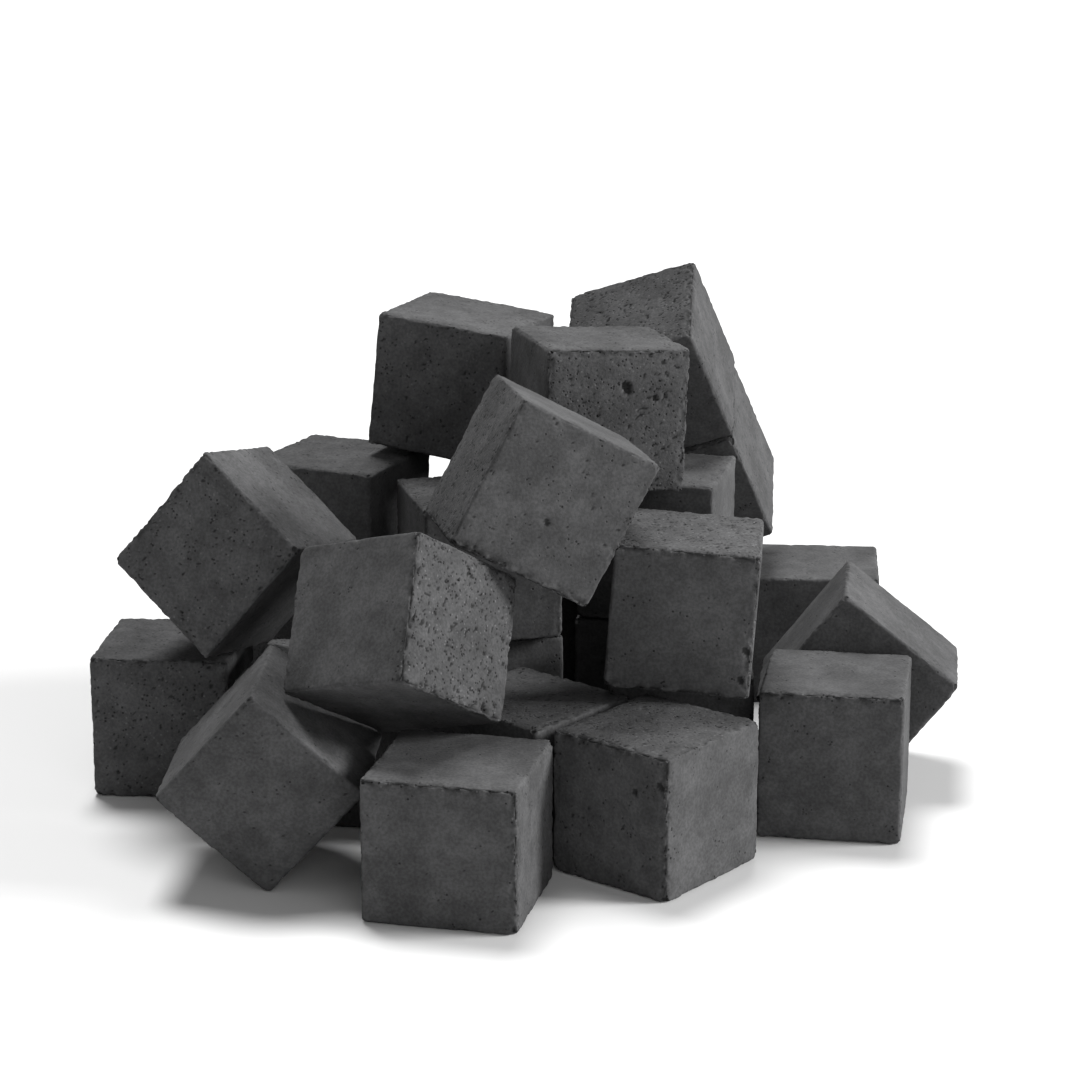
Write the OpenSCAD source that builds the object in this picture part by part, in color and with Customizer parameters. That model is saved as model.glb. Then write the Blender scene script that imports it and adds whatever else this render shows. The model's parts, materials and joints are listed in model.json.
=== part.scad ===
// A heap of loose pressed charcoal cubes.
//
// Every cube is a separate piece. The ground course stands on the floor and each later cube is
// let down over the ones before it until it touches, so the heap settles again when a size changes.
// X runs to the right, Y runs away from the front of the heap and Z is up.
// The origin is on the floor, in the middle of the heap's bounding box.

/* [Cube] */
// Edge of one pressed cube
edge = 25; // [20:0.5:30]
// Worn bevel along every edge of a cube
bevel = 0.7; // [0.4:0.1:1.5]

/* [Heap] */
// Air left where two cubes touch
gap = 0.2; // [0.1:0.05:0.3]
// How far apart the cubes are set down, as a share of the normal spacing
spread = 1; // [1:0.01:1.05]

/* [Hidden] */
// The places and trims below are laid out for this edge and grow with the real one
layout_edge = 25;
unit = edge / layout_edge;

// Colour of pressed charcoal
charcoal = [0.24, 0.24, 0.24];

// Directions flatter than this count as level
level = 0.000001;
// Farther than any place in the heap
far = 10000;
up = [0, 0, 1];

// One row per cube, in the order in which the heap is built:
// name, place [x, y], turn [tip forward, lean right, yaw] and trim [width, depth, height]
GROUND_COURSE = [
    ["left_outer_cube", [-65, 1], [0, 0, -5], [-0.5, 0, 0.5]],
    ["left_tilted_cube", [-44, -44], [4, 42, -4], [-0.5, -0.5, -0.5]],
    ["front_left_cube", [-13, -58], [0, 0, -13], [0.5, 0.5, -1]],
    ["front_corner_cube", [19, -43], [0, 0, 51], [0.5, -1.5, -0.5]],
    ["front_right_cube", [50.5, -20], [0, 0, -9.5], [-0.5, 0, 1]],
    ["right_tilted_cube", [57, 5.5], [-1, 38, -7], [1, 0, 0]],
    ["right_rear_cube", [53, 53], [0, 0, -5], [0, 0, 0]],
    ["inner_front_cube", [-2, -27], [0, 0, 49], [0, 0, -1]],
    ["inner_right_cube", [24.5, -7.5], [0, 0, -2], [0, 0, 0]],
    ["inner_left_cube", [-37.5, -12.5], [0, 0, -10], [0, 0, 0.5]],
    ["center_cube", [-11, 15], [0, 0, 15], [0, 0, -0.5]],
    ["rear_center_cube", [20.5, 27], [0, 0, -9], [0, 0, -0.5]],
    ["rear_left_cube", [-39.5, 37], [0, 0, -15], [0, 0, 1]],
    ["rear_middle_cube", [-4.5, 46], [0, 0, 1], [0, 0, 0]],
    ["rear_right_cube", [24, 57], [0, 0, 8], [0, 0, -0.5]]
];

MIDDLE_COURSE = [
    ["middle_right_cube", [24.5, -19.5], [0.5, 4, -5], [-0.5, 0, 0]],
    ["middle_left_cube", [-22.5, -41], [-15, 30, 55], [1, 0.5, 0]],
    ["middle_outer_cube", [-52, -9.5], [-10, 39, -22], [-1, -0.5, 1]],
    ["middle_core_cube", [-11, 12.5], [0, 0, 14], [0, 0, 0]],
    ["middle_rear_left_cube", [-37, 34], [0, 0, -24], [0, 0, 0]],
    ["middle_rear_right_cube", [21.5, 25.5], [0, 0, -13], [0, 0, 1]],
    ["middle_rear_cube", [-3, 52], [0, 0, 5], [0, 0, 0]]
];

TOP_COURSE = [
    ["leaning_lower_cube", [29.5, 55.5], [24, -19.5, -4], [0, -0.5, -0.5]],
    ["top_left_cube", [-14.5, 39.5], [-0.5, 6, -21], [0.5, 0, 0]],
    ["top_center_cube", [10, 13], [-1.5, 3, 15], [1, 0.5, 0.5]],
    ["top_front_cube", [0, -25], [-2, 28.5, 12], [1, 0, 1.5]],
    ["leaning_upper_cube", [21, 47], [24, -19.5, -4], [0, -0.5, -0.5]]
];

CUBES = concat(GROUND_COURSE, MIDDLE_COURSE, TOP_COURSE);

// A cube's record once it is placed: name, centre, its three axes, half sizes, turn
function name_of(c) = c[0];
function centre_of(c) = c[1];
function axes_of(c) = c[2];
function half_of(c) = c[3];
function turn_of(c) = c[4];

function about_x(a) = [[1, 0, 0], [0, cos(a), -sin(a)], [0, sin(a), cos(a)]];
function about_y(a) = [[cos(a), 0, sin(a)], [0, 1, 0], [-sin(a), 0, cos(a)]];
function about_z(a) = [[cos(a), -sin(a), 0], [sin(a), cos(a), 0], [0, 0, 1]];
function columns(m) = [for (j = [0:2]) [for (i = [0:2]) m[i][j]]];
function turned_axes(turn) = columns(about_z(turn[2]) * about_x(turn[0]) * about_y(turn[1]));

// How far a bevelled cube reaches from its centre along a direction
function reach(c, direction) =
    let (share = [for (axis = axes_of(c)) abs(direction * axis)])
    let (total = share * [1, 1, 1])
    share * half_of(c) - bevel * min(total - max(share), total / 2);

// The directions along which two boxes can be apart: their faces' and their edges' crossings
function crossings(a, b) = [
    for (p = axes_of(a), q = axes_of(b))
        let (n = cross(p, q))
        if (norm(n) > level) n / norm(n)
];
function directions(a, b) = concat(axes_of(a), axes_of(b), crossings(a, b));

// Along one direction, the heights of b's centre between which b runs into a
function blocked_span(a, b, direction) =
    let (n = direction.z < 0 ? -direction : direction)
    let (room = reach(a, n) + reach(b, n) + gap)
    let (offset = n * (centre_of(b) - centre_of(a)))
    n.z < level
        ? (abs(offset) < room ? [-far, far] : [far, -far])
        : [(-room - offset) / n.z, (room - offset) / n.z];

// The height at which b, let down from above, comes to rest on a, or 0 if it passes a by
function rest_height(a, b) =
    let (spans = [for (n = directions(a, b)) blocked_span(a, b, n)])
    let (low = max([for (s = spans) s[0]]))
    let (high = min([for (s = spans) s[1]]))
    low < high ? high : 0;

function loose(row) = [
    row[0],
    [row[1].x * unit * spread, row[1].y * unit * spread, 0],
    turned_axes(row[2]),
    (edge * [1, 1, 1] + row[3] * unit) / 2,
    row[2]
];
function raised(c, z) = [name_of(c), centre_of(c) + z * up, axes_of(c), half_of(c), turn_of(c)];
function let_down(c, placed) = raised(c, max([reach(c, up), for (a = placed) rest_height(a, c)]));
function settle(rows, placed = []) =
    len(placed) == len(rows)
        ? placed
        : settle(rows, concat(placed, [let_down(loose(rows[len(placed)]), placed)]));

HEAP = settle(CUBES);

// Middle of the heap along one direction
function middle(direction) =
    let (high = max([for (c = HEAP) centre_of(c) * direction + reach(c, direction)]))
    let (low = min([for (c = HEAP) centre_of(c) * direction - reach(c, direction)]))
    (high + low) / 2;
heap_middle = [middle([1, 0, 0]), middle([0, 1, 0]), 0];

// A bar of bevelled section along Z, long enough to trim the other two directions
module bevelled_bar(width, depth, height) {
    x = width / 2;
    y = depth / 2;
    linear_extrude(height = height, center = true)
        polygon([
            [x - bevel, -y], [x, -y + bevel], [x, y - bevel], [x - bevel, y],
            [-x + bevel, y], [-x, y - bevel], [-x, -y + bevel], [-x + bevel, -y]
        ]);
}

// One cube about its own centre, with all twelve edges bevelled
module bevelled_cube(size) {
    intersection() {
        bevelled_bar(size.x, size.y, size.z);
        rotate([90, 0, 0]) bevelled_bar(size.x, size.z, size.y);
        rotate([0, 90, 0]) bevelled_bar(size.z, size.y, size.x);
    }
}

// A cube of the heap where it came to rest
module charcoal_cube(c) {
    turn = turn_of(c);
    color(charcoal)
        translate(centre_of(c) - heap_middle)
            rotate([0, 0, turn[2]])
                rotate([turn[0], 0, 0])
                    rotate([0, turn[1], 0])
                        bevelled_cube(2 * half_of(c));
}

for (c = HEAP) {
    charcoal_cube(c);
}
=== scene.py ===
"""Looks for a heap of pressed charcoal cubes.

Every CAD cube is replaced by a worn one of the same size in the same place: rounded, crumbled along
its edges, chipped at its corners and pitted on the faces where it was cut. All lengths inside a cube
are in millimetres, in the cube's own axes. Everything in the scene is in metres.
"""

import json
import math

import bpy
import numpy as np
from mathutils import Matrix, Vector


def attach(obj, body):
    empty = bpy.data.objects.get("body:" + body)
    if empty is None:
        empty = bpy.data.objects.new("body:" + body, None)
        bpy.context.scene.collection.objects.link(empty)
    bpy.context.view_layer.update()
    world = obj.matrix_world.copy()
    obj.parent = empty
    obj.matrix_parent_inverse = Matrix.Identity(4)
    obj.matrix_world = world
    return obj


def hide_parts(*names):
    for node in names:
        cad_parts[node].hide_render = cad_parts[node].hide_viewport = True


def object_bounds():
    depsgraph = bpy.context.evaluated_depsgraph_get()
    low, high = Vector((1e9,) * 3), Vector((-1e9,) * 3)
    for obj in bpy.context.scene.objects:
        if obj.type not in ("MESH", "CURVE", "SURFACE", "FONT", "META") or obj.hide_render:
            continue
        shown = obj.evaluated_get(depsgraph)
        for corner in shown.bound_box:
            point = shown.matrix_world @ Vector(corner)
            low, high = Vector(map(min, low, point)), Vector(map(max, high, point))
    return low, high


MM = 0.001
SEED = 7

# Directions in the heap's frame, which pick a cube's nearest face or edge
LEFT, RIGHT = (-1, 0, 0), (1, 0, 0)
FRONT, TOP = (0, -1, 0), (0, 0, 1)
TOP_LEFT, TOP_RIGHT = (-1, 0, 1), (1, 0, 1)
FRONT_LEFT, FRONT_RIGHT = (-1, -1, 0), (1, -1, 0)
FRONT_TOP, FRONT_BOTTOM = (0, -1, 1), (0, -1, -1)
FRONT_LEFT_TOP, FRONT_LEFT_BOTTOM = (-1, -1, 1), (-1, -1, -1)
FRONT_RIGHT_BOTTOM = (1, -1, -1)

# How porous a face is, from 0, pressed smooth, to 1. The face across from it is as porous.
PRESSED = 0.04
POROUS_FACES = {
    "left_outer_cube": {FRONT: 0.5, TOP: 0.35},
    "left_tilted_cube": {FRONT: 0.1, TOP_LEFT: 0.2},
    "front_left_cube": {RIGHT: 0.3},
    "front_corner_cube": {TOP: 0.6, FRONT_LEFT: 0.25},
    "front_right_cube": {RIGHT: 0.3},
    "right_tilted_cube": {FRONT: 0.15},
    "right_rear_cube": {RIGHT: 0.4},
    "middle_right_cube": {TOP: 0.9},
    "middle_left_cube": {FRONT_RIGHT: 1.0},
    "middle_outer_cube": {FRONT: 0.45, TOP_RIGHT: 0.25},
    "middle_core_cube": {TOP: 0.7},
    "middle_rear_left_cube": {TOP: 0.4},
    "middle_rear_right_cube": {TOP: 0.25},
    "top_left_cube": {FRONT: 0.4, TOP: 0.3},
    "top_center_cube": {FRONT: 0.75, TOP: 0.45},
    "top_front_cube": {LEFT: 0.6, FRONT: 0.25},
    "leaning_upper_cube": {TOP: 0.9, RIGHT: 0.2},
    "leaning_lower_cube": {TOP: 0.9, RIGHT: 0.2},
}
# What the cubes that aren't listed have
OTHER_CUBES = {TOP: 0.6, FRONT: 0.15}

# Edges that have crumbled more than the rest
CRUMBLED_EDGES = {
    "left_outer_cube": [FRONT_TOP],
    "front_left_cube": [FRONT_RIGHT, FRONT_TOP],
    "front_corner_cube": [FRONT_LEFT_TOP, FRONT],
    "front_right_cube": [FRONT_TOP],
    "middle_right_cube": [FRONT_TOP, FRONT_BOTTOM, FRONT_RIGHT],
    "middle_left_cube": [FRONT, FRONT_RIGHT_BOTTOM],
    "middle_outer_cube": [TOP_LEFT],
    "top_center_cube": [FRONT_RIGHT, FRONT_TOP],
    "top_front_cube": [FRONT_LEFT_BOTTOM],
    "leaning_upper_cube": [FRONT_TOP],
}

# Single large pits: face, place across and down as shares of the face, and width in mm
LARGE_PITS = {
    "top_center_cube": [(FRONT, 0.56, 0.27, 2.2), (FRONT, 0.76, 0.34, 1.2)],
    "middle_right_cube": [(FRONT, 0.95, 0.66, 1.4), (FRONT, 0.93, 0.86, 1.2)],
    "front_corner_cube": [(FRONT_LEFT, 0.93, 0.2, 1.4), (FRONT_LEFT, 0.72, 0.28, 1.2)],
    "right_tilted_cube": [(FRONT, 0.45, 0.3, 1.3)],
    "top_front_cube": [(FRONT, 0.5, 0.62, 1.0)],
    "middle_left_cube": [(FRONT_RIGHT, 0.8, 0.95, 1.6)],
}

# Cubes that the others all but hide from every side need less detail
BURIED = ("inner_right_cube", "center_cube", "rear_center_cube")

# Rows of the grid on a face: across each rounded edge, and between them
EDGE_ZONE = 1.8
EDGE_ROWS, FACE_ROWS = 9, 58
BURIED_EDGE_ROWS, BURIED_FACE_ROWS = 5, 26

# Radius of a worn edge, least and most, and the length over which it changes
EDGE_RADIUS = (0.35, 1.0)
EDGE_RADIUS_CHANGE = 5
# Depth and length of the slow waviness of a face
WAVINESS = 0.12
WAVE_LENGTH = 11
# Depth and size of the grain of a fully porous face
GRAIN_DEPTH = 0.09
GRAIN_SIZE = 0.9
# Depth to which a crumbled edge has lost grains, and the size of what it has lost
CRUMBLE_DEPTH = 0.5
CRUMB_SIZE = 1.0
# Wear of the other edges, as shares of a crumbled one's: in patches of this length, and more where
# a porous face ends
PATCHY_WEAR = 0.45
PATCH_LENGTH = 4
POROUS_WEAR = 0.55
# Pits on a fully porous face, per square millimetre, and their radius
PIT_DENSITY = 0.55
PIT_RADIUS = (0.14, 0.42)
# Depth of a pit as a share of its radius
PIT_DEPTH = 0.8
# How far the grid is drawn together inside a pit, so that its rim is sharp
PIT_PULL = 0.5
# Bites out of an edge: how many on a plain and on a crumbled one, radius and depth
BITES = (3, 12)
BITE_RADIUS = (0.5, 1.4)
BITE_DEPTH = (0.1, 0.5)
# How far the wall of a bite strays from a ball, as a share of its radius, and in what lumps
BITE_ROUGHNESS = 0.2
BITE_LUMPS = 0.5
# Bites out of the corners
CORNER_RADIUS = (1.2, 2.6)
CORNER_DEPTH = (0.05, 0.5)

# Colours
CHARCOAL = (0.057, 0.057, 0.058, 1)
FLOOR = (0.59, 0.59, 0.59, 1)
# Lumps and specks in the charcoal's colour, in metres
STAIN_SIZE, SMUDGE_SIZE, FINE_GRAIN_SIZE = 0.009, 0.0025, 0.0005
PORE_SPACING, PORE_PATCH_SIZE, ASH_SPACING = 0.0009, 0.003, 0.0006
BUMP_HEIGHT = 0.00012
# How far the floor reaches to each side
FLOOR_REACH = 4
# Camera: rise over the floor, distance, and what it aims at: how far to the right of the heap's
# middle, and how high as a share of the heap's height
CAMERA_RISE = math.radians(15.4)
CAMERA_DISTANCE = 0.525
AIM_RIGHT = 0.0012
AIM_SHARE = 0.522
# Suns: direction toward each, strength and how many degrees of sky it fills
SUNS = {
    "high_light": ((-0.08, 0.38, 0.92), 4.0, 22),
    "side_light": ((0.92, -0.02, 0.37), 5.4, 20),
    "front_light": ((0.35, -0.86, 0.36), 0.85, 50),
}
SURROUNDINGS = 0.25

# A small repeating block of random numbers that all the noise is read from
NOISE_CELLS = 32
NOISE_TABLE = np.random.default_rng(SEED).random((NOISE_CELLS,) * 3)


def smooth_step(t):
    t = np.clip(t, 0, 1)
    return t * t * (3 - 2 * t)


def noise(points, cell):
    """Smooth noise from 0 to 1 with lumps of about one cell, in mm."""
    scaled = points / cell
    low = np.floor(scaled).astype(int)
    share = smooth_step(scaled - low)
    total = np.zeros(len(points))
    for corner in np.ndindex(2, 2, 2):
        corner = np.array(corner)
        weight = np.where(corner, share, 1 - share).prod(axis=1)
        total += weight * NOISE_TABLE[tuple(((low + corner) % NOISE_CELLS).T)]
    return total


def fractal(points, cell, octaves):
    """Noise with smaller lumps on the larger ones, from 0 to 1."""
    total, weights = np.zeros(len(points)), 0
    for octave in range(octaves):
        weight = 0.5**octave
        total += weight * noise(points + 11.3 * octave, cell * weight)
        weights += weight
    return total / weights


class Cube:
    """Where a CAD cube is: its centre, its right, back and up axes and its half sizes, in mm."""

    def __init__(self, node):
        mesh = frame["nodes"][node].data
        normals, areas = [], []
        for polygon in mesh.polygons:
            normal = np.array(polygon.normal)
            same = [i for i, n in enumerate(normals) if abs(n @ normal) > 0.999]
            if same:
                areas[same[0]] += polygon.area
            else:
                normals.append(normal)
                areas.append(polygon.area)
        faces = [normals[i] for i in np.argsort(areas)[-3:]]
        faces.sort(key=lambda n: -abs(n[2]))
        up = faces[0] * np.sign(faces[0][2])
        back = max(faces[1:], key=lambda n: abs(n[1]))
        back = back * np.sign(back[1])
        self.name = node
        self.axes = np.array([np.cross(back, up), back, up])
        corners = np.array([v.co for v in mesh.vertices]) / MM
        along = corners @ self.axes.T
        self.half = (along.max(0) - along.min(0)) / 2
        self.centre = (along.max(0) + along.min(0)) / 2 @ self.axes
        self.rng = np.random.default_rng([SEED, *node.encode()])
        self.noise_place = self.rng.uniform(0, 400, 3)

    def face(self, direction):
        """(axis, side) of the face that looks most nearly in a direction of the heap's frame."""
        along = self.axes @ np.array(direction, float)
        axis = int(np.argmax(np.abs(along)))
        return axis, int(np.sign(along[axis]))

    def edge(self, direction):
        """The two faces that meet at the edge that looks most nearly in a direction."""
        along = self.axes @ np.array(direction, float)
        first, second = np.argsort(-np.abs(along))[:2]
        return tuple((int(axis), int(np.sign(along[axis]))) for axis in (first, second))

    def porosity(self):
        """How porous each of the three pairs of faces is."""
        levels = [PRESSED] * 3
        for direction, level in POROUS_FACES.get(self.name, OTHER_CUBES).items():
            levels[self.face(direction)[0]] = level
        return np.array(levels)


def grid_on_surface(rows):
    """A cube's surface as a grid: each point's place in whole rows, and each quad's four corners."""
    places = np.indices((rows + 1,) * 3).reshape(3, -1).T
    outside = ((places == 0) | (places == rows)).any(axis=1)
    number = np.full(len(places), -1)
    number[outside] = np.arange(outside.sum())
    number = number.reshape((rows + 1,) * 3)
    quads = []
    for axis in range(3):
        for side in (0, rows):
            sheet = np.take(number, side, axis=axis)
            turned = (axis == 1) == (side == rows)
            corners = [sheet[:-1, :-1], sheet[1:, :-1], sheet[1:, 1:], sheet[:-1, 1:]]
            if turned:
                corners.reverse()
            quads.append(np.stack([c.ravel() for c in corners], axis=1))
    return places[outside], np.concatenate(quads)


def grid_lines(half, edge_rows, face_rows):
    """Where the grid's lines cross one axis: close together along the two edges."""
    inner = half - EDGE_ZONE
    low = np.linspace(-half, -inner, edge_rows + 1)
    middle = np.linspace(-inner, inner, face_rows + 1)
    return np.concatenate([low, middle[1:], -low[::-1][1:]])


def pits_on_face(cube, level):
    """Pits of one face: place, radius, squash and turn of each, largest first."""
    width = 2 * cube.half.mean()
    count = int(PIT_DENSITY * level * width * width)
    place = cube.rng.uniform(-1, 1, (count, 2))
    small, large = PIT_RADIUS
    radius = small * (large * (0.5 + 0.5 * level) / small) ** (cube.rng.random(count) ** 2)
    squash = cube.rng.uniform(0.45, 1, count)
    turn = cube.rng.uniform(0, math.pi, count)
    order = np.argsort(-radius)
    return place[order], radius[order], squash[order], turn[order]


def press_pit(flat, depth, place, radius, squash, turn):
    """Draws the grid of a face together around one pit and sinks it."""
    offset = flat - place
    near = (np.abs(offset) < 2 * radius / squash).all(axis=1)
    offset = offset[near]
    cosine, sine = math.cos(turn), math.sin(turn)
    rotation = np.array([[cosine, -sine], [sine, cosine]]) * [[squash], [1 / squash]]
    away = np.linalg.norm(offset @ rotation.T, axis=1) / (2 * radius)
    pull = np.where(away < 1, 1 - PIT_PULL * (1 - away) ** 2, 1)
    flat[near] = place + offset * pull[:, None]
    reached = np.clip(2 * away * pull, 0, 1)
    depth[near] = np.maximum(depth[near], PIT_DEPTH * radius * (1 - reached**3))


def pit_faces(cube, points, places, rows, levels):
    """Moves the grid of every face around its pits, and returns how deep each point is sunk."""
    depth = np.zeros(len(points))
    large = {}
    for direction, across, down, width in LARGE_PITS.get(cube.name, []):
        large.setdefault(cube.face(direction), []).append((across, down, width / 2))
    for axis in range(3):
        first, second = [i for i in range(3) if i != axis]
        for side in (-1, 1):
            on_face = places[:, axis] == (rows if side > 0 else 0)
            start = points[on_face][:, [first, second]]
            room = cube.half[[first, second]] - EDGE_RADIUS[0]
            flat, sunk = start.copy(), np.zeros(on_face.sum())
            place, radius, squash, turn = pits_on_face(cube, levels[axis])
            for pit in zip(place * room, radius, squash, turn):
                press_pit(flat, sunk, *pit)
            for across, down, size in large.get((axis, side), []):
                press_pit(flat, sunk, spot_on_face(cube, axis, across, down), size, 0.8, 1)
            # The rim of the face stays where the next face meets it
            rim = (cube.half[[first, second]] - np.abs(start)).min(axis=1)
            hold = smooth_step(rim / EDGE_RADIUS[0])[:, None]
            moved = points[on_face]
            moved[:, [first, second]] = start + (flat - start) * hold
            points[on_face] = moved
            depth[on_face] = np.maximum(depth[on_face], sunk * hold[:, 0])
    return depth


def spot_on_face(cube, axis, across, down):
    """The point of a face at these shares of its width and height, as seen from the front."""
    first, second = [i for i in range(3) if i != axis]
    spot = []
    upright = max((first, second), key=lambda i: abs(cube.axes[i][2]))
    for i in (first, second):
        share = 1 - 2 * down if i == upright else 2 * across - 1
        toward = cube.axes[i][2] if i == upright else cube.axes[i][0]
        spot.append(share * np.sign(toward) * cube.half[i])
    return np.array(spot)


def near_edge(cube, points, faces):
    """1 along the edge between two faces, falling to 0 at the edge zone's inner side."""
    share = np.ones(len(points))
    for axis, side in faces:
        share = np.minimum(share, 1 - (cube.half[axis] - side * points[:, axis]) / EDGE_ZONE)
    return np.clip(share, 0, 1)


def bite(cube, points, centre, radius, loss):
    """Pushes the points inside a rough ball out to its surface, and marks them as lost."""
    offset = points - centre
    distance = np.linalg.norm(offset, axis=1)
    near = distance < (1 + BITE_ROUGHNESS) * radius
    lumps = 2 * noise(points[near] + cube.noise_place, BITE_LUMPS) - 1
    ball = radius * (1 + BITE_ROUGHNESS * lumps)
    inside = distance[near] < ball
    index = np.flatnonzero(near)[inside]
    points[index] = centre + offset[index] * (ball[inside] / distance[index])[:, None]
    loss[index] = np.maximum(loss[index], ball[inside] - distance[index])


def bite_edges(cube, points, loss):
    """Chips along all the edges and off the corners."""
    crumbled = [set(cube.edge(d)) for d in CRUMBLED_EDGES.get(cube.name, [])]
    for along in range(3):
        first, second = [i for i in range(3) if i != along]
        for sides in ((-1, -1), (-1, 1), (1, -1), (1, 1)):
            worn = {(first, sides[0]), (second, sides[1])} in crumbled
            corner = np.zeros(3)
            corner[[first, second]] = cube.half[[first, second]] * sides
            outward = np.zeros(3)
            outward[[first, second]] = np.array(sides) / math.sqrt(2)
            for _ in range(BITES[worn]):
                radius = cube.rng.uniform(*BITE_RADIUS)
                deep = cube.rng.uniform(*BITE_DEPTH) + EDGE_RADIUS[0] * (math.sqrt(2) - 1)
                centre = corner + outward * (radius - deep)
                centre[along] = cube.rng.uniform(-1, 1) * cube.half[along]
                bite(cube, points, centre, radius, loss)
    for signs in np.ndindex(2, 2, 2):
        outward = (2 * np.array(signs) - 1) / math.sqrt(3)
        radius = cube.rng.uniform(*CORNER_RADIUS)
        deep = cube.rng.uniform(*CORNER_DEPTH) + EDGE_RADIUS[1] * (math.sqrt(3) - 1)
        centre = cube.half * (2 * np.array(signs) - 1) + outward * (radius - deep)
        bite(cube, points, centre, radius, loss)


def worn_surface(cube, edge_rows, face_rows):
    """Points of the worn cube in mm in its own axes, its quads, and the marks for its material."""
    rows = 2 * edge_rows + face_rows
    places, quads = grid_on_surface(rows)
    lines = [grid_lines(half, edge_rows, face_rows) for half in cube.half]
    points = np.stack([lines[axis][places[:, axis]] for axis in range(3)], axis=1)
    levels = cube.porosity()
    depth = pit_faces(cube, points, places, rows, levels)

    # Round the edges and corners
    own = points + cube.noise_place
    small, large = EDGE_RADIUS
    radius = (small + (large - small) * fractal(own, EDGE_RADIUS_CHANGE, 2))[:, None]
    inner = np.clip(points, -(cube.half - radius), cube.half - radius)
    outward = points - inner
    outward /= np.linalg.norm(outward, axis=1)[:, None]
    points = inner + radius * outward

    # How porous each point is, how worn, and how much it has lost
    facing = outward**4
    porous = (facing @ levels) / facing.sum(axis=1)
    edges = np.sort(1 - (cube.half - np.abs(points)) / EDGE_ZONE, axis=1)[:, 1]
    edges = np.clip(edges, 0, 1)
    patches = smooth_step(2 * fractal(own, PATCH_LENGTH, 2) - 0.5)
    worn = edges * (PATCHY_WEAR * patches + POROUS_WEAR * porous)
    for direction in CRUMBLED_EDGES.get(cube.name, []):
        worn = np.maximum(worn, near_edge(cube, points, cube.edge(direction)))
    crumbs = smooth_step(2.4 * fractal(own, CRUMB_SIZE, 2) - 0.7)
    lost = CRUMBLE_DEPTH * worn * crumbs

    waves = WAVINESS * (1 - fractal(own, WAVE_LENGTH, 2))
    grain = GRAIN_DEPTH * np.maximum(porous, 0.7 * worn) * fractal(own + 50, GRAIN_SIZE, 2)
    points -= outward * (depth + lost + waves + grain)[:, None]

    bitten = np.zeros(len(points))
    bite_edges(cube, points, bitten)
    points = np.clip(points, -cube.half, cube.half)
    # How sunk each point is in a pit, a crumbled spot or a chip; the material darkens it there as
    # painted shade
    hollow = np.clip(depth / PIT_RADIUS[0] + 2 * lost + 1.2 * bitten, 0, 1)
    rough = np.clip(np.maximum(porous, worn) + 2 * bitten, 0, 1)
    return points, quads, {"hollow": hollow, "rough": rough}


def build_worn_cube(node, body, material):
    cube = Cube(node)
    rows = (BURIED_EDGE_ROWS, BURIED_FACE_ROWS) if node in BURIED else (EDGE_ROWS, FACE_ROWS)
    points, quads, marks = worn_surface(cube, *rows)
    world = (cube.centre + points @ cube.axes) * MM
    # An edge that a cube stands on is worn flat where it meets the floor
    world[:, 2] = np.maximum(world[:, 2], 0)

    mesh = bpy.data.meshes.new("worn_" + node)
    mesh.vertices.add(len(world))
    mesh.vertices.foreach_set("co", world.astype(np.float32).ravel())
    mesh.loops.add(quads.size)
    mesh.loops.foreach_set("vertex_index", quads.astype(np.int32).ravel())
    mesh.polygons.add(len(quads))
    mesh.polygons.foreach_set("loop_start", np.arange(0, quads.size, 4, dtype=np.int32))
    mesh.update(calc_edges=True)
    mesh.polygons.foreach_set("use_smooth", np.ones(len(quads), bool))
    for name, values in marks.items():
        mark = mesh.attributes.new(name, "FLOAT", "POINT")
        mark.data.foreach_set("value", values.astype(np.float32))
    mesh.validate()
    mesh.materials.append(material)

    piece = bpy.data.objects.new("worn_" + node, mesh)
    bpy.context.scene.collection.objects.link(piece)
    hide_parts(node)
    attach(piece, body)
    return piece


class Nodes:
    """Short ways to add and join shader nodes of one material."""

    def __init__(self, material):
        material.use_nodes = True
        self.tree = material.node_tree
        self.shader = self.tree.nodes["Principled BSDF"]

    def add(self, kind, **values):
        """A node with these settings. A value that is another node's socket is linked."""
        made = self.tree.nodes.new(kind)
        for name, value in values.items():
            if name in made.bl_rna.properties:
                setattr(made, name, value)
            else:
                self.put(made.inputs[name.replace("_", " ")], value)
        return made

    def put(self, socket, value):
        if isinstance(value, bpy.types.NodeSocket):
            self.tree.links.new(value, socket)
        else:
            socket.default_value = value

    def math(self, operation, *values):
        made = self.tree.nodes.new("ShaderNodeMath")
        made.operation = operation
        for socket, value in zip(made.inputs, values):
            self.put(socket, value)
        return made.outputs[0]

    def product(self, first, *others):
        for other in others:
            first = self.math("MULTIPLY", first, other)
        return first

    def span(self, value, low, high, to_low=0.0, to_high=1.0):
        """value from low to high, eased, becomes to_low to to_high."""
        made = self.add("ShaderNodeMapRange", interpolation_type="SMOOTHSTEP", Value=value)
        for name, number in zip(("From Min", "From Max", "To Min", "To Max"),
                                (low, high, to_low, to_high)):
            made.inputs[name].default_value = number
        return made.outputs[0]

    def noise(self, place, size, detail=2.0):
        """Noise with lumps of about this size in metres."""
        made = self.add("ShaderNodeTexNoise", Vector=place, Scale=1 / size, Detail=detail)
        return made.outputs["Fac"]

    def mark(self, name):
        made = self.add("ShaderNodeAttribute", attribute_name=name)
        return made.outputs["Fac"]


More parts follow.
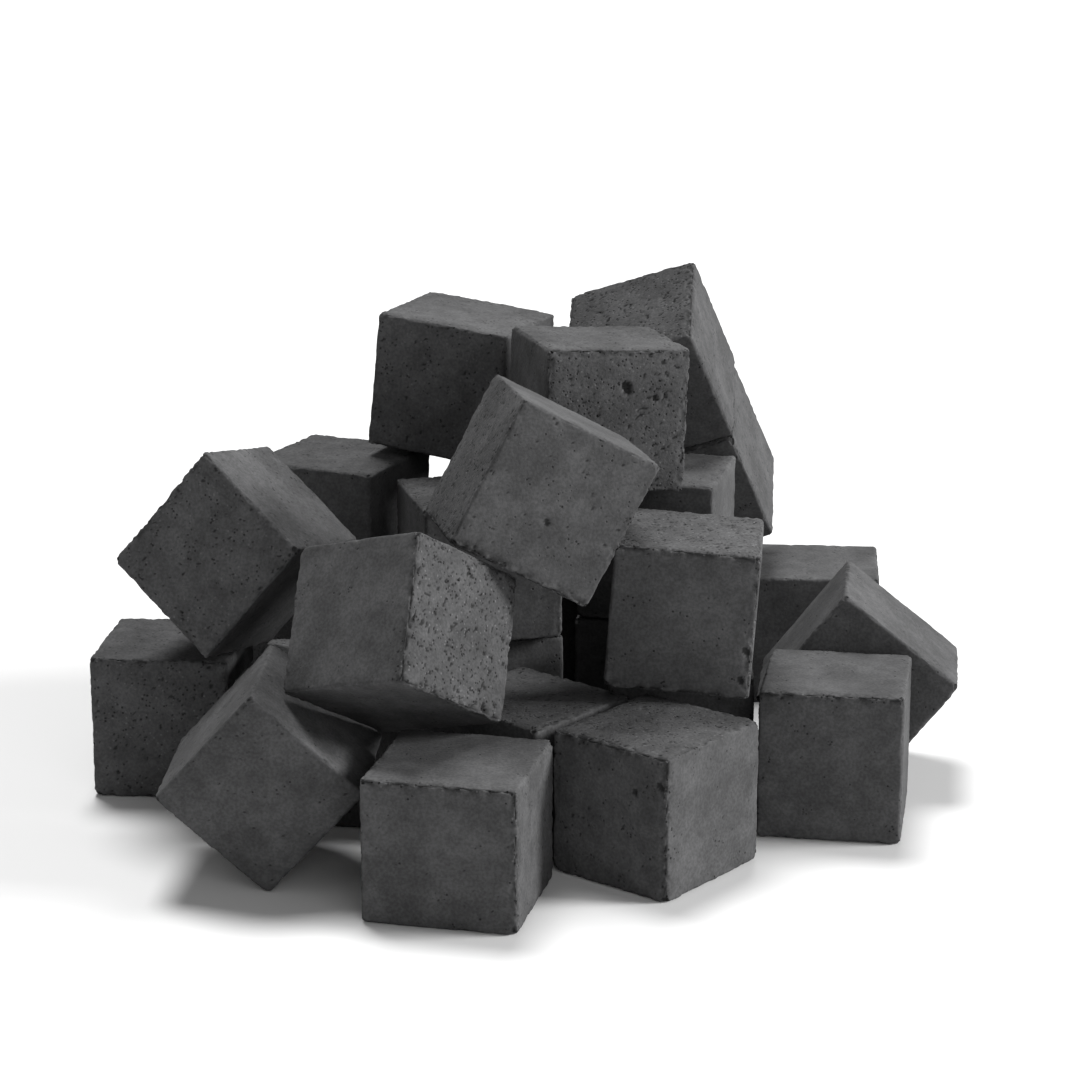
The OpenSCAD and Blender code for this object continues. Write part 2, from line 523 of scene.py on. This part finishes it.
def charcoal_material():
    """Pressed charcoal: mottled dark grey with pale grains of ash, and painted shade in its pits,
    chips and pores.
    """
    material = bpy.data.materials.new("charcoal")
    n = Nodes(material)
    place = n.add("ShaderNodeTexCoord").outputs["Object"]
    rough, hollow = n.mark("rough"), n.mark("hollow")

    # Each shade is a share of the charcoal's colour, from the darkest lump to the lightest
    stains = n.span(n.noise(place, STAIN_SIZE, 3), 0.3, 0.7, 0.8, 1.16)
    smudges = n.span(n.noise(place, SMUDGE_SIZE, 3), 0.3, 0.7, 0.88, 1.1)
    grain = n.noise(place, FINE_GRAIN_SIZE, 3)
    grain_shade = n.span(grain, 0.3, 0.7, 0.84, 1.16)

    # Pores too small for the mesh: cells whose cores are darkened as painted shade in the pores, many
    # where the face is porous
    pores = n.add("ShaderNodeTexVoronoi", Vector=place, Scale=1 / PORE_SPACING, Randomness=1.0)
    patches = n.noise(place, PORE_PATCH_SIZE, 2)
    pore_here = n.span(n.math("ADD", patches, n.math("MULTIPLY", rough, 0.22)), 0.56, 0.7)
    pore = n.product(n.span(pores.outputs["Distance"], 0.12, 0.3, 1, 0), pore_here)

    # Grains of ash, along the crumbled edges and on porous faces
    grains = n.add("ShaderNodeTexVoronoi", Vector=place, Scale=1 / ASH_SPACING, Randomness=1.0)
    chosen = n.add("ShaderNodeSeparateColor", Color=grains.outputs["Color"]).outputs["Red"]
    ash_here = n.product(n.span(chosen, 0.86, 0.9), n.span(rough, 0.1, 0.7))
    ash = n.product(n.span(grains.outputs["Distance"], 0.2, 0.4, 1, 0), ash_here)

    dust = n.span(rough, 0, 1, 1.0, 1.04)
    # Pits, crumbled spots and chips darkened by their depth: painted shade in the hollows
    painted_hollow_shade = n.span(hollow, 0.05, 0.9, 1, 0.36)
    # The pores darkened: painted shade inside holes too small for the mesh
    painted_pore_shade = n.span(pore, 0, 1, 1, 0.35)
    light = n.product(stains, smudges, grain_shade, dust, painted_hollow_shade, painted_pore_shade)
    light = n.math("ADD", light, n.math("MULTIPLY", ash, 0.7))
    tint = n.add("ShaderNodeMix", data_type="RGBA", blend_type="MULTIPLY")
    tint.inputs["Factor"].default_value = 1
    n.put(tint.inputs["A"], CHARCOAL)
    n.put(tint.inputs["B"], light)
    n.put(n.shader.inputs["Base Color"], tint.outputs["Result"])

    n.put(n.shader.inputs["Roughness"], n.span(rough, 0, 1, 0.85, 1.0))
    n.shader.inputs["Specular IOR Level"].default_value = 0.15

    height = n.math("ADD", n.math("MULTIPLY", grain, n.span(rough, 0, 1, 0.35, 1.0)),
                    n.math("MULTIPLY", pore, -1.2))
    bump = n.add("ShaderNodeBump", Height=height, Distance=BUMP_HEIGHT, Strength=0.8)
    n.put(n.shader.inputs["Normal"], bump.outputs["Normal"])
    return material


def floor_material():
    material = bpy.data.materials.new("pale_floor")
    n = Nodes(material)
    place = n.add("ShaderNodeTexCoord").outputs["Object"]
    n.put(n.shader.inputs["Base Color"], FLOOR)
    n.put(n.shader.inputs["Roughness"], n.span(n.noise(place, 0.4), 0.3, 0.7, 0.9, 1.0))
    n.shader.inputs["Specular IOR Level"].default_value = 0.0
    return material


def build_floor():
    mesh = bpy.data.meshes.new("floor")
    r = FLOOR_REACH
    mesh.from_pydata([(-r, -r, 0), (r, -r, 0), (r, r, 0), (-r, r, 0)], [], [(0, 1, 2, 3)])
    mesh.materials.append(floor_material())
    floor = bpy.data.objects.new("floor", mesh)
    bpy.context.scene.collection.objects.link(floor)


def look_along(thing, direction):
    thing.rotation_euler = Vector(direction).to_track_quat("-Z", "Y").to_euler()


def build_camera(heap_height):
    camera = bpy.data.objects.new("camera", bpy.data.cameras.new("camera"))
    camera.data.lens = 100
    camera.data.clip_end = 20
    aim = Vector((AIM_RIGHT, 0, AIM_SHARE * heap_height))
    back = Vector((0, -math.cos(CAMERA_RISE), math.sin(CAMERA_RISE)))
    camera.location = aim + CAMERA_DISTANCE * back
    look_along(camera, -back)
    bpy.context.scene.collection.objects.link(camera)
    bpy.context.scene.camera = camera


def sun(name, toward, strength, spread):
    """A soft sun that stands in this direction."""
    light = bpy.data.lights.new(name, "SUN")
    light.energy = strength
    light.angle = math.radians(spread)
    lamp = bpy.data.objects.new(name, light)
    look_along(lamp, -Vector(toward))
    bpy.context.scene.collection.objects.link(lamp)


def build_light():
    """High soft light from behind, low light from the right, a little from in front and all round."""
    for name, settings in SUNS.items():
        sun(name, *settings)
    world = bpy.data.worlds.new("surroundings")
    world.use_nodes = True
    background = world.node_tree.nodes["Background"]
    background.inputs["Color"].default_value = (1, 1, 1, 1)
    background.inputs["Strength"].default_value = SURROUNDINGS
    bpy.context.scene.world = world
    bpy.context.scene.view_settings.view_transform = "Standard"


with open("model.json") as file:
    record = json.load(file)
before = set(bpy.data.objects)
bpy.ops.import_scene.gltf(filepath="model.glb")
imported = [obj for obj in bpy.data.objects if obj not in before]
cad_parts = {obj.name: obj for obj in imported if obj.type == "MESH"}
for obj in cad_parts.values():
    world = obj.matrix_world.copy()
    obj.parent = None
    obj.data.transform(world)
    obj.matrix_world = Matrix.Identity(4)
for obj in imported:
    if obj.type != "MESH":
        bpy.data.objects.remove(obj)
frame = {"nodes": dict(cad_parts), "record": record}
cad_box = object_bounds()
build_camera(cad_box[1][2])
build_light()
build_floor()
charcoal = charcoal_material()
bodies = frame["record"]["behaviour"]["bodies"]
for body, members in bodies.items():
    for node in members:
        build_worn_cube(node, body, charcoal)
